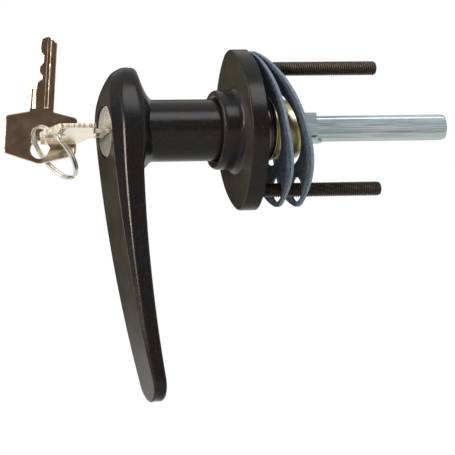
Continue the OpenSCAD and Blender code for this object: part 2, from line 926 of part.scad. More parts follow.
// A key with a long groove in each face, flat in X and Y
module key() {
    groove_w = 1.3;
    groove_deep = 0.35;
    groove_apart = 1.6;
    groove_back = stem_l * 0.6;
    color("#b9b2a2")
    difference() {
        translate([0, 0, -key_t / 2])
            linear_extrude(key_t)
                key_outline();
        for (face = [-1, 1])
            translate([-groove_back, blade_side + (face * groove_apart - groove_w) / 2, face * key_t / 2])
                translate([0, 0, -groove_deep])
                    cube([stem_l + blade_l, groove_w, 2 * groove_deep]);
    }
}

module key_in_lock() {
    translate([key_stop_x, -blade_side, -key_drop])
        key();
}

key_hole = [key_hole_x, -blade_side, -key_drop];

// Two turns of flat wire, drawn as one ring with a groove between them
module key_ring() {
    w = ring_wire / 2;
    h = ring_h / 2;
    r = ring_d / 2;
    c = 0.3;
    color("#c9c6bd")
    translate(key_hole + ring_centre)
        rotate([0, ring_tilt, ring_turn])
            rotate_extrude()
                polygon([
                    [r - w, -h + c], [r - w + c, -h], [r + w - c, -h], [r + w, -h + c],
                    [r + w, -c / 2], [r + w - c, 0], [r + w, c / 2],
                    [r + w, h - c], [r + w - c, h], [r - w + c, h], [r - w, h - c]
                ]);
}

// The spare key stands blade up, with its bitting away from the lever
module spare_key() {
    translate(key_hole + spare_hole)
        rotate(spare_turn)
            rotate([0, -90, -90])
                translate([stem_l + bow_l - bow_hole_in, 0, 0])
                    key();
}

base_flange();
upper_stud();
lower_stud();
front_gasket();
rear_gasket();
handle_lever();
lock_barrel();
front_thrust_washer();
wave_washer();
rear_thrust_washer();
spacer_washer();
retaining_cup();
spindle();
spindle_collar();
cross_pin();
lock_plug();
plug_face_cap();
wafer_1();
wafer_2();
wafer_3();
wafer_4();
wafer_5();
wafer_springs();
plug_clip();
lock_bolt();
key_in_lock();
key_ring();
spare_key();
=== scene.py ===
"""Looks of a locking lever handle for a cab door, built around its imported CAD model.

Sizes are in millimetres here and go into the meshes in metres, in the CAD model's own frame:
origin on the spindle axis at the flange's back, +X into the door, +Z up, lever hanging down.
"""
import json
import math

import bpy
import numpy as np
from mathutils import Matrix, Vector


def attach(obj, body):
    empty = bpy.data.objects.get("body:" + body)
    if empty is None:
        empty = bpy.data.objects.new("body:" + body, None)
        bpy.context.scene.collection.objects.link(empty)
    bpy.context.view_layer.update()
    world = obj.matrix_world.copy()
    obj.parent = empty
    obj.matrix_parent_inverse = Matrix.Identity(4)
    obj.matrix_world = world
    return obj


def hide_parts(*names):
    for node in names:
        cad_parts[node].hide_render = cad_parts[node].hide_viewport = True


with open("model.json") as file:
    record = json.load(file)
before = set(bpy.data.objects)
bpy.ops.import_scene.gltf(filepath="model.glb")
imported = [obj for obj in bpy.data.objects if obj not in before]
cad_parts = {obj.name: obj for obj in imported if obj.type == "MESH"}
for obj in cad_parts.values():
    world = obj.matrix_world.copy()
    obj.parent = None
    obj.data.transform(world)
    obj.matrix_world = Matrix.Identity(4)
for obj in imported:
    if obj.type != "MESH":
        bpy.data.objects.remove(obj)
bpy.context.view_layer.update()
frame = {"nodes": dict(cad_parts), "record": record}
nodes = frame["nodes"]
MM = 0.001
PER_MM = 1000  # scale of a noise whose features are 1 mm wide
TURN = 2 * math.pi
KEYWAY_DROP = 0.9  # millimetres from the spindle axis down to the keyway's middle


# Meshes

def surface(name, shells, body, material, stands_for=(), edge_angle=40):
    """Makes one mesh from closed shells. A shell is a grid of points that closes round its second index.

    A shell with ring=True closes round its first index as well, like a tyre; otherwise its first and last
    rows are closed by a fan to their middle points.
    """
    points, faces, start = [], [], 0
    for grid, ring in shells:
        rows, cols = grid.shape[:2]
        number = start + np.arange(rows * cols).reshape(rows, cols)
        across = np.roll(number, -1, axis=1)
        if ring:
            below, below_across = np.roll(number, -1, axis=0), np.roll(across, -1, axis=0)
            quads = np.stack([number, across, below_across, below], axis=-1).reshape(-1, 4)
            points.append(grid.reshape(-1, 3))
            faces.extend(quads.tolist())
            start += rows * cols
        else:
            quads = np.stack([number[:-1], across[:-1], across[1:], number[1:]], axis=-1).reshape(-1, 4)
            ends = np.stack([grid[0].mean(axis=0), grid[-1].mean(axis=0)])
            first, last = start + rows * cols, start + rows * cols + 1
            fan_a = np.stack([np.full(cols, first), across[0], number[0]], axis=-1)
            fan_b = np.stack([np.full(cols, last), number[-1], across[-1]], axis=-1)
            points.append(np.concatenate([grid.reshape(-1, 3), ends]))
            faces.extend(quads.tolist() + fan_a.tolist() + fan_b.tolist())
            start += rows * cols + 2
    piece_of(name, np.concatenate(points), faces, body, material, stands_for, edge_angle)


def piece_of(name, points, faces, body, material, stands_for=(), edge_angle=40):
    """A closed mesh from points in millimetres and faces, riding on a body in place of CAD nodes."""
    mesh = bpy.data.meshes.new(name)
    mesh.from_pydata((points * MM).tolist(), [], faces)
    mesh.validate()
    piece = bpy.data.objects.new(name, mesh)
    bpy.context.scene.collection.objects.link(piece)
    if signed_volume(mesh) < 0:
        mesh.flip_normals()
    mesh.shade_smooth()
    mesh.set_sharp_from_angle(angle=math.radians(edge_angle))
    mesh.materials.append(material)
    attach(piece, body)
    if stands_for:
        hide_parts(*stands_for)
    return piece


def arrays_of(mesh):
    """A mesh's points, and the numbers of each triangle's points, as two arrays."""
    mesh.calc_loop_triangles()
    points = np.empty(len(mesh.vertices) * 3)
    mesh.vertices.foreach_get("co", points)
    triangles = np.empty(len(mesh.loop_triangles) * 3, dtype=np.int32)
    mesh.loop_triangles.foreach_get("vertices", triangles)
    return points.reshape(-1, 3), triangles.reshape(-1, 3)


def signed_volume(mesh):
    """Volume of a closed mesh, below zero where its faces point inwards."""
    points, triangles = arrays_of(mesh)
    a, b, c = points[triangles].transpose(1, 0, 2)
    return float((a * np.cross(b, c)).sum() / 6)


def eased(a, p, b, length, steps=5, most=0.5):
    """Rows that round the corner p between rows a and b: a parabola from length before p to length after it.

    It takes up no more than the share most of the way to either row.
    """
    def toward(q):
        reach = np.linalg.norm(q - p, axis=-1, keepdims=True)
        return p + (q - p) * np.minimum(length / np.maximum(reach, 1e-9), most)
    t = np.linspace(0, 1, steps)[:, None, None]
    return (1 - t) ** 2 * toward(a) + 2 * t * (1 - t) * p + t ** 2 * toward(b)


def eased_path(corners, lengths, steps=5):
    """A profile of points with each inner corner rounded by a parabola of its own length."""
    corners = np.asarray(corners, float)
    rows = [corners[:1]]
    for i in range(1, len(corners) - 1):
        if lengths[i] > 0:
            a, p, b = corners[i - 1:i + 2]
            rows.append(eased(a[None], p[None], b[None], lengths[i], steps)[:, 0])
        else:
            rows.append(corners[i:i + 1])
    return np.concatenate(rows + [corners[-1:]])


def filled(rows, per=1.0):
    """Adds rows between rows that lie further apart than per millimetres, on straight lines."""
    out = [rows[:1]]
    for a, b in zip(rows[:-1], rows[1:]):
        n = max(1, int(np.ceil(np.linalg.norm(b - a, axis=-1).max() / per)))
        t = (np.arange(1, n + 1) / n)[:, None, None]
        out.append(a + (b - a) * t)
    return np.concatenate(out)


# Materials

def srgb(code):
    """An sRGB hex colour as the linear numbers that shaders use."""
    part = np.array([int(code[i:i + 2], 16) for i in (1, 3, 5)]) / 255
    linear = np.where(part <= 0.04045, part / 12.92, ((part + 0.055) / 1.055) ** 2.4)
    return (*linear.tolist(), 1.0)


def add(tree, kind, sockets=None, **settings):
    """Adds a node with its settings; a socket value that is another node's output is linked."""
    node = tree.nodes.new("ShaderNode" + kind)
    for key, value in settings.items():
        setattr(node, key, value)
    for key, value in (sockets or {}).items():
        if isinstance(value, bpy.types.NodeSocket):
            tree.links.new(value, node.inputs[key])
        else:
            node.inputs[key].default_value = value
    return node


def finish_of(name, sockets):
    """A new material with one Principled shader, as (material, tree, shader, Object coordinates)."""
    material = bpy.data.materials.new(name)
    material.use_nodes = True
    tree = material.node_tree
    shader = tree.nodes["Principled BSDF"]
    for key, value in sockets.items():
        shader.inputs[key].default_value = value
    return material, tree, shader, add(tree, "TexCoord").outputs["Object"]


def black_powder_coat():
    """Satin black powder coat on a zinc casting: blue-black to brown-black with fine orange peel.

    Its low specular level keeps faces towards the viewer dark. Faces that look straight ahead, away from the
    door, are tinted olive-grey in patches as a painted sheen.
    """
    material, tree, shader, place = finish_of("black_powder_coat", {
        "Specular IOR Level": 0.16, "Specular Tint": srgb("#fff3de")})
    cloud = add(tree, "TexNoise", {"Vector": place, "Scale": PER_MM / 10, "Detail": 6.0, "Roughness": 0.6})
    peel = add(tree, "TexNoise", {"Vector": place, "Scale": PER_MM / 0.6, "Detail": 3.0, "Roughness": 0.6})
    patch = add(tree, "MapRange", {"Value": cloud.outputs["Fac"], "From Min": 0.4, "From Max": 0.6})
    black = add(tree, "Mix", {"Factor": patch.outputs["Result"], "A": srgb("#1a1410"), "B": srgb("#151719")},
                data_type="RGBA")
    grain = add(tree, "MapRange", {"Value": peel.outputs["Fac"], "From Min": 0.52, "From Max": 0.75,
                                   "To Max": 0.5})
    black = add(tree, "Mix", {"Factor": grain.outputs["Result"], "A": black.outputs["Result"],
                              "B": srgb("#2f3439")}, data_type="RGBA")
    # Painted sheen: faces that look ahead, away from the door, are tinted olive-grey in cloudy patches, in place of
    # the light they reflect
    facing = add(tree, "SeparateXYZ", {"Vector": add(tree, "TexCoord").outputs["Normal"]})
    ahead = add(tree, "MapRange", {"Value": facing.outputs["X"], "From Min": -0.8, "From Max": -0.97})
    # How strongly each cloudy patch takes the painted sheen
    worn = add(tree, "MapRange", {"Value": cloud.outputs["Fac"], "From Min": 0.3, "From Max": 0.7,
                                  "To Min": 0.35, "To Max": 0.75})
    painted_front_sheen = add(tree, "Math", {0: ahead.outputs["Result"], 1: worn.outputs["Result"]}, operation="MULTIPLY")
    tint = add(tree, "Mix", {"Factor": painted_front_sheen.outputs[0], "A": black.outputs["Result"], "B": srgb("#3a372e")},
               data_type="RGBA")
    rough = add(tree, "MapRange", {"Value": cloud.outputs["Fac"], "From Min": 0.3, "From Max": 0.7,
                                   "To Min": 0.16, "To Max": 0.26})
    bump = add(tree, "Bump", {"Height": peel.outputs["Fac"], "Strength": 0.4, "Distance": 0.06 * MM})
    tree.links.new(tint.outputs["Result"], shader.inputs["Base Color"])
    tree.links.new(rough.outputs["Result"], shader.inputs["Roughness"])
    tree.links.new(bump.outputs["Normal"], shader.inputs["Normal"])
    return material


def black_oxide_steel():
    """Black oxide on rolled steel thread: brown-black, a little metallic, with rust-red tint in places."""
    material, tree, shader, place = finish_of("black_oxide_steel", {
        "Roughness": 0.42, "Metallic": 0.6})
    spot = add(tree, "TexNoise", {"Vector": place, "Scale": PER_MM / 3, "Detail": 4.0})
    tint = add(tree, "Mix", {"Factor": spot.outputs["Fac"], "A": srgb("#241d18"), "B": srgb("#4b4034")},
               data_type="RGBA")
    tree.links.new(tint.outputs["Result"], shader.inputs["Base Color"])
    return material


def gasket_fibre():
    """Pressed fibre gasket sheet: matt slate grey, mottled, with short fibres and a painted highlight on its rim.
    """
    material, tree, shader, place = finish_of("gasket_fibre", {
        "Roughness": 0.85, "Specular IOR Level": 0.3})
    blotch = add(tree, "TexNoise", {"Vector": place, "Scale": PER_MM / 1.1, "Detail": 6.0, "Roughness": 0.75})
    fibre = add(tree, "TexNoise", {"Vector": place, "Scale": PER_MM / 0.4, "Detail": 3.0})
    patch = add(tree, "MapRange", {"Value": blotch.outputs["Fac"], "From Min": 0.35, "From Max": 0.68})
    tint = add(tree, "Mix", {"Factor": patch.outputs["Result"], "A": srgb("#28313a"), "B": srgb("#626e7a")},
               data_type="RGBA")
    # Painted highlight: faces that do not look along the axis, the sheet's rim, are tinted paler
    facing = add(tree, "SeparateXYZ", {"Vector": add(tree, "TexCoord").outputs["Normal"]})
    flat = add(tree, "Math", {0: facing.outputs["X"]}, operation="ABSOLUTE")
    cut = add(tree, "MapRange", {"Value": flat.outputs[0], "From Min": 0.85, "From Max": 0.6,
                                 "To Min": 0.0, "To Max": 0.28})
    tint = add(tree, "Mix", {"Factor": cut.outputs["Result"], "A": tint.outputs["Result"],
                             "B": srgb("#9aa4ab")}, data_type="RGBA")
    bump = add(tree, "Bump", {"Height": fibre.outputs["Fac"], "Strength": 0.5, "Distance": 0.08 * MM})
    tree.links.new(tint.outputs["Result"], shader.inputs["Base Color"])
    tree.links.new(bump.outputs["Normal"], shader.inputs["Normal"])
    return material


def yellow_zinc():
    """Yellow-passivated zinc plate: olive-gold metal whose thin film shifts to pink and green in patches."""
    material, tree, shader, place = finish_of("yellow_zinc", {"Roughness": 0.32, "Metallic": 1.0})
    film = add(tree, "TexNoise", {"Vector": place, "Scale": PER_MM / 6, "Detail": 4.0, "Roughness": 0.6})
    gold = add(tree, "Mix", {"Factor": film.outputs["Fac"], "A": srgb("#7f7446"), "B": srgb("#b9ac80")},
               data_type="RGBA")
    hue = add(tree, "TexNoise", {"Vector": place, "Scale": PER_MM / 11, "Detail": 2.0})
    shift = add(tree, "MapRange", {"Value": hue.outputs["Fac"], "From Min": 0.5, "From Max": 0.7,
                                   "To Max": 0.5})
    film = add(tree, "Mix", {"Factor": shift.outputs["Result"], "A": gold.outputs["Result"],
                             "B": srgb("#a9b39a")}, data_type="RGBA")
    tree.links.new(film.outputs["Result"], shader.inputs["Base Color"])
    return material


def bright_zinc():
    """Bright zinc plate on drawn steel: pale blue-grey metal with faint lines along the bar."""
    material, tree, shader, place = finish_of("bright_zinc", {"Metallic": 0.75})
    along = add(tree, "Mapping", {"Vector": place, "Scale": (0.03, 1.0, 1.0)})
    line = add(tree, "TexNoise", {"Vector": along.outputs["Vector"], "Scale": PER_MM / 0.35, "Detail": 4.0})
    streak = add(tree, "MapRange", {"Value": line.outputs["Fac"], "From Min": 0.35, "From Max": 0.65})
    tint = add(tree, "Mix", {"Factor": streak.outputs["Result"], "A": srgb("#94a2a0"), "B": srgb("#b6c1bc")},
               data_type="RGBA")
    rough = add(tree, "MapRange", {"Value": line.outputs["Fac"], "From Min": 0.3, "From Max": 0.7,
                                   "To Min": 0.3, "To Max": 0.4})
    bump = add(tree, "Bump", {"Height": line.outputs["Fac"], "Strength": 0.15, "Distance": 0.03 * MM})
    tree.links.new(tint.outputs["Result"], shader.inputs["Base Color"])
    tree.links.new(rough.outputs["Result"], shader.inputs["Roughness"])
    tree.links.new(bump.outputs["Normal"], shader.inputs["Normal"])
    return material


def dark_spring_steel():
    """Oiled spring steel of the washers: grey-brown metal, polished, dark except where an edge catches light."""
    material, tree, shader, place = finish_of("dark_spring_steel", {"Roughness": 0.24, "Metallic": 1.0})
    oil = add(tree, "TexNoise", {"Vector": place, "Scale": PER_MM / 5, "Detail": 3.0})
    tint = add(tree, "Mix", {"Factor": oil.outputs["Fac"], "A": srgb("#2f2827"), "B": srgb("#655b58")},
               data_type="RGBA")
    tree.links.new(tint.outputs["Result"], shader.inputs["Base Color"])
    return material


def machined_brass():
    """Machined brass of the lock's inside: warm yellow metal with fine turning marks across the axis."""
    material, tree, shader, place = finish_of("machined_brass", {"Roughness": 0.3, "Metallic": 1.0})
    across = add(tree, "Mapping", {"Vector": place, "Scale": (1.0, 0.05, 0.05)})
    mark = add(tree, "TexNoise", {"Vector": across.outputs["Vector"], "Scale": PER_MM / 0.3, "Detail": 3.0})
    tint = add(tree, "Mix", {"Factor": mark.outputs["Fac"], "A": srgb("#b0945a"), "B": srgb("#cdb47c")},
               data_type="RGBA")
    tree.links.new(tint.outputs["Result"], shader.inputs["Base Color"])
    return material


def satin_stainless():
    """Satin stainless pressing on the lock's face: grey-beige metal with fine specks, and painted shade round the
    keyway.
    """
    material, tree, shader, place = finish_of("satin_stainless", {"Roughness": 0.48, "Metallic": 1.0})
    grit = add(tree, "TexNoise", {"Vector": place, "Scale": PER_MM / 0.45, "Detail": 4.0, "Roughness": 0.7})
    speck = add(tree, "MapRange", {"Value": grit.outputs["Fac"], "From Min": 0.38, "From Max": 0.55})
    tint = add(tree, "Mix", {"Factor": speck.outputs["Result"], "A": srgb("#6b6964"), "B": srgb("#dcdbd6")},
               data_type="RGBA")
    blot = add(tree, "TexNoise", {"Vector": place, "Scale": PER_MM / 2.2, "Detail": 3.0})
    # Painted shade: the face darkens in blotches towards the keyway's middle line
    height = add(tree, "SeparateXYZ", {"Vector": place})
    off = add(tree, "Math", {0: height.outputs["Z"], 1: KEYWAY_DROP * MM}, operation="ADD")
    off = add(tree, "Math", {0: off.outputs[0]}, operation="ABSOLUTE")
    near = add(tree, "MapRange", {"Value": off.outputs[0], "From Min": 0.6 * MM, "From Max": 3.0 * MM,
                                  "To Min": 1.4, "To Max": 0.0})
    keyway_shade = add(tree, "Math", {0: near.outputs["Result"], 1: blot.outputs["Fac"]}, operation="MULTIPLY",
                use_clamp=True)
    tint = add(tree, "Mix", {"Factor": keyway_shade.outputs[0], "A": tint.outputs["Result"], "B": srgb("#2b2721")},
               data_type="RGBA")
    bump = add(tree, "Bump", {"Height": grit.outputs["Fac"], "Strength": 0.3, "Distance": 0.04 * MM})
    tree.links.new(tint.outputs["Result"], shader.inputs["Base Color"])
    tree.links.new(bump.outputs["Normal"], shader.inputs["Normal"])
    return material


def nickel_on_brass(name, flat, face_tints, edge_tints):
    """Nickel plate on stamped brass keys: warm grey metal with patches of wear, and edges in tints of their own, a
    painted highlight where these are paler than the faces.

    flat is the direction that the key's flat faces look in; the edges are what looks elsewhere. Each pair of
    tints goes from dull to bright.
    """
    material, tree, shader, place = finish_of(name, {})
    rub = add(tree, "TexNoise", {"Vector": place, "Scale": PER_MM / 5, "Detail": 5.0, "Roughness": 0.65})
    scratch = add(tree, "TexNoise", {"Vector": place, "Scale": PER_MM / 0.7, "Detail": 3.0})
    face = add(tree, "Mix", {"Factor": rub.outputs["Fac"], "A": srgb(face_tints[0]), "B": srgb(face_tints[1])},
               data_type="RGBA")
    normal = add(tree, "TexCoord").outputs["Normal"]
    along = add(tree, "VectorMath", {0: normal, 1: flat}, operation="DOT_PRODUCT")
    away = add(tree, "Math", {0: along.outputs["Value"]}, operation="ABSOLUTE")
    edge = add(tree, "MapRange", {"Value": away.outputs[0], "From Min": 0.75, "From Max": 0.4})
    shear = add(tree, "Mapping", {"Vector": place, "Scale": (1.0, 1.0, 0.08)})
    mark = add(tree, "TexNoise", {"Vector": shear.outputs["Vector"], "Scale": PER_MM / 0.55, "Detail": 2.0})
    reed = add(tree, "MapRange", {"Value": mark.outputs["Fac"], "From Min": 0.35, "From Max": 0.65})
    line = add(tree, "Mix", {"Factor": reed.outputs["Result"], "A": srgb(edge_tints[0]),
                             "B": srgb(edge_tints[1])}, data_type="RGBA")
    tint = add(tree, "Mix", {"Factor": edge.outputs["Result"], "A": face.outputs["Result"],
                             "B": line.outputs["Result"]}, data_type="RGBA")
    metal = add(tree, "MapRange", {"Value": edge.outputs["Result"], "To Min": 1.0, "To Max": 0.35})
    worn = add(tree, "MapRange", {"Value": rub.outputs["Fac"], "From Min": 0.3, "From Max": 0.7,
                                  "To Min": 0.13, "To Max": 0.22})
    rough = add(tree, "Math", {0: edge.outputs["Result"], 1: 0.25, 2: worn.outputs["Result"]},
                operation="MULTIPLY_ADD")
    bump = add(tree, "Bump", {"Height": scratch.outputs["Fac"], "Strength": 0.12, "Distance": 0.03 * MM})
    tree.links.new(tint.outputs["Result"], shader.inputs["Base Color"])
    tree.links.new(metal.outputs["Result"], shader.inputs["Metallic"])
    tree.links.new(rough.outputs[0], shader.inputs["Roughness"])
    tree.links.new(bump.outputs["Normal"], shader.inputs["Normal"])
    return material


def nickel_spring_wire():
    """Bright nickel on the split ring's flat spring wire: pale, polished, a little worn."""
    material, tree, shader, place = finish_of("nickel_spring_wire", {"Roughness": 0.2, "Metallic": 1.0})
    wear = add(tree, "TexNoise", {"Vector": place, "Scale": PER_MM / 2, "Detail": 3.0})
    tint = add(tree, "Mix", {"Factor": wear.outputs["Fac"], "A": srgb("#bfb9ad"), "B": srgb("#dedad0")},
               data_type="RGBA")
    tree.links.new(tint.outputs["Result"], shader.inputs["Base Color"])
    return material


BLACK_COAT = black_powder_coat()
BLACK_OXIDE = black_oxide_steel()
GASKET = gasket_fibre()
YELLOW_ZINC = yellow_zinc()
BRIGHT_ZINC = bright_zinc()
DARK_STEEL = dark_spring_steel()
BRASS = machined_brass()
SATIN_FACE = satin_stainless()
SPARE_FLAT = (-0.322, -0.947, -0.020)  # the way the spare key's flat face looks
# The two keys are one nickel plate in a lit and a shaded copy: the key in the lock has its faces painted paler, as
# a painted reflection; the spare key has its faces painted darker, as painted shade, and its edges painted paler,
# as a painted highlight
KEY_NICKEL_LIT = nickel_on_brass("nickel_on_brass", (0, 0, 1), ("#cfc2a4", "#fbf2da"), ("#80745f", "#ded3bd"))
SPARE_NICKEL_SHADED = nickel_on_brass("nickel_on_brass_spare_shaded", SPARE_FLAT, ("#9a8c7c", "#ab9d8e"), ("#b9ab8e", "#fff6e2"))
RING_NICKEL = nickel_spring_wire()

finishes = {"black_coat": BLACK_COAT, "black_oxide": BLACK_OXIDE, "gasket_fibre": GASKET,
            "yellow_zinc": YELLOW_ZINC, "bright_zinc": BRIGHT_ZINC, "dark_steel": DARK_STEEL,
            "lock_brass": BRASS, "satin_face": SATIN_FACE, "key_nickel": KEY_NICKEL_LIT,
            "ring_nickel": RING_NICKEL}
for part in frame["record"]["subparts"]:
    node = nodes[part["node"]]
    node.data.materials.clear()
    node.data.materials.append(finishes[part["material_slot"]])


# Lever: the same named sizes as the CAD model's

LEVER_TOP, LEVER_DROP, LEVER_REACH = 22.4, 94.1, 52.8
HEAD_HALF, TIP_HALF, TIP_ROUND = 12.0, 7.6, 6.5
FRONT_CURVE, CROWN_CURVE, CROWN_LEVEL = 525.0, 30.0, 4.9
BEVEL_DEEP, BEVEL_DEEP_TIP, BEVEL_DEEP_TOP = 4.3, 0.4, 3.0
BEVEL_SIDE, BEVEL_SIDE_TIP = 1.9, 0.6
SIDE_DEEP, SIDE_DEEP_TIP, SIDE_DEEP_TOP = 6.8, 4.2, 5.2
BACK_ROUND = 1.6
NECK_R, NECK_BLEND, CROWN_BLEND_H, CROWN_BLEND_L = 10.65, 3.0, 12.0, 6.8
SPIGOT_R, SPIGOT_END = 9.35, 15.4
LOCK_MOUTH_R, BARREL_X, BARREL_R, LOCK_BORE_END = 9.1, -50.45, 8.0, -26.8
TAIL_R, SPINDLE_ROOT, POCKET_R = 3.55, 0.6, 5.75
# The blend into the neck: what it gains below, how deep it starts, its curve and its soft seam
LOWER_BLEND_H, LOWER_BLEND_L, BLEND_SINK, BLEND_POWER, BLEND_SEAM = 3.5, 3.0, 0.6, 0.7, 1.2
# The bevel: where its hollow lies, how far the crest rises, and the hollow's share of depth over the crown
HOLLOW_AT, CREST_RISE, CROWN_HOLLOW = 0.72, 0.38, 0.57
# Side and back: inset, start of the side's flat and its gain over the crown, and the back's rounding
SIDE_INSET, SIDE_START, SIDE_START_CROWN = 0.2, 0.12, 0.24
BACK_RIM, CROWN_BACK_ROUND = 0.8, 2.2
MOUTH_EDGE, NECK_EDGE, SPIGOT_EDGE = 0.3, 0.3, 0.4
FACE_ROWS, BACK_ROWS = 38, 69


def taper(head, tip, z):
    """A size that changes evenly from the spindle axis down to the tip."""
    return head + (tip - head) * np.maximum(0, -z / LEVER_DROP)


def over_crown(head, tip, top, z):
    """A size that tapers to the tip below the axis and falls off with the square of height above it."""
    return np.where(z > 0, head - (head - top) * (z / LEVER_TOP) ** 2, taper(head, tip, z))


def front_x(z):
    """The front's long curve below the crown level and its tighter curl above it."""
    h = z - CROWN_LEVEL
    return -LEVER_REACH + np.where(h < 0, h ** 2 / (2 * FRONT_CURVE),
                                   CROWN_CURVE - np.sqrt(np.maximum(CROWN_CURVE ** 2 - h ** 2, 1)))


def lever_edge(columns):
    """Half outline of the lever, as arrays of half width and height, from the top down to the tip.

    An elliptic crown, straight tapering sides and an elliptic tip, sampled evenly along their length.
    """
    crown = np.linspace(math.pi / 2, 0, 200)
    level = -LEVER_DROP + TIP_ROUND
    sides = np.linspace(0, level, 300)[1:]
    tip = np.linspace(0, math.pi / 2, 120)[1:]
    tip_half = taper(HEAD_HALF, TIP_HALF, np.array(level))
    z = np.concatenate([LEVER_TOP * np.sin(crown), sides, level - TIP_ROUND * np.sin(tip)])
    w = np.concatenate([HEAD_HALF * np.cos(crown), taper(HEAD_HALF, TIP_HALF, sides), tip_half * np.cos(tip)])
    run = np.concatenate([[0], np.cumsum(np.hypot(np.diff(w), np.diff(z)))])
    even = np.linspace(0, run[-1], columns + 1)
    return np.interp(even, run, w), np.interp(even, run, z)


LEVER_COLUMNS = 220
half_w, half_z = lever_edge(LEVER_COLUMNS)
# The whole outline: down one side and up the other
EDGE_W = np.concatenate([half_w, -half_w[-2:0:-1]])
EDGE_Z = np.concatenate([half_z, half_z[-2:0:-1]])


def lever_ring(front_inset, back_inset, bevel_share, side_share):
    """One ring round the lever: the outline drawn in by an inset, at shares of the bevel's and the side's depth.

    The inset is a share of the bevel's width plus a length in millimetres.
    """
    inset = front_inset * taper(BEVEL_SIDE, BEVEL_SIDE_TIP, EDGE_Z) + back_inset
    full = taper(HEAD_HALF, TIP_HALF, EDGE_Z)
    end = np.where(EDGE_Z > 0, LEVER_TOP, LEVER_DROP)
    z = EDGE_Z * (end - inset) / end
    x = (front_x(z) + bevel_share * over_crown(BEVEL_DEEP, BEVEL_DEEP_TIP, BEVEL_DEEP_TOP, EDGE_Z)
         + side_share * over_crown(SIDE_DEEP, SIDE_DEEP_TIP, SIDE_DEEP_TOP, EDGE_Z))
    return np.stack([x, EDGE_W * (full - inset) / full, z], axis=-1)


def circle_rows(profile):
    """Circles round the X axis for [radius, x] points, each point in the direction of the outline's point."""
    a = np.arctan2(EDGE_Z, EDGE_W)
    profile = np.asarray(profile, float)
    r, x = profile[:, :1], profile[:, 1:]
    return np.stack([np.broadcast_to(x, (len(profile), len(a))), r * np.cos(a), r * np.sin(a)], axis=-1)


def back_x(y, z):
    """The lever's back: its own depth, or the blend that rises to the neck where that is higher.

    The blend falls off with a power of the distance from the neck; the seam of the two is softened.
    """
    plain = (front_x(z) + over_crown(BEVEL_DEEP, BEVEL_DEEP_TIP, BEVEL_DEEP_TOP, z)
             + over_crown(SIDE_DEEP, SIDE_DEEP_TIP, SIDE_DEEP_TOP, z))
    back = front_x(np.array(0.0)) + BEVEL_DEEP + SIDE_DEEP - BLEND_SINK
    rho = np.hypot(y, z)
    upward, downward = np.maximum(0, z / rho) ** 2, np.maximum(0, -z / rho) ** 2
    tall = NECK_BLEND + (CROWN_BLEND_H - NECK_BLEND) * upward + LOWER_BLEND_H * downward
    long = NECK_BLEND + (CROWN_BLEND_L - NECK_BLEND) * upward + LOWER_BLEND_L * downward
    share = np.clip((rho - NECK_R) / tall, 0, 2) ** BLEND_POWER
    blend = back + (1 - share) * long
    lift = np.maximum(BLEND_SEAM - np.abs(blend - plain), 0) / BLEND_SEAM
    return np.maximum(plain, blend) + lift ** 2 * BLEND_SEAM / 4


def rows_between(a, b, shares, depth):
    """Rows at shares of the way from row a to row b in Y and Z, with x given by a function of both."""
    y = a[:, 1] + (b[:, 1] - a[:, 1]) * shares[:, None]
    z = a[:, 2] + (b[:, 2] - a[:, 2]) * shares[:, None]
    return np.stack([depth(y, z), y, z], axis=-1)


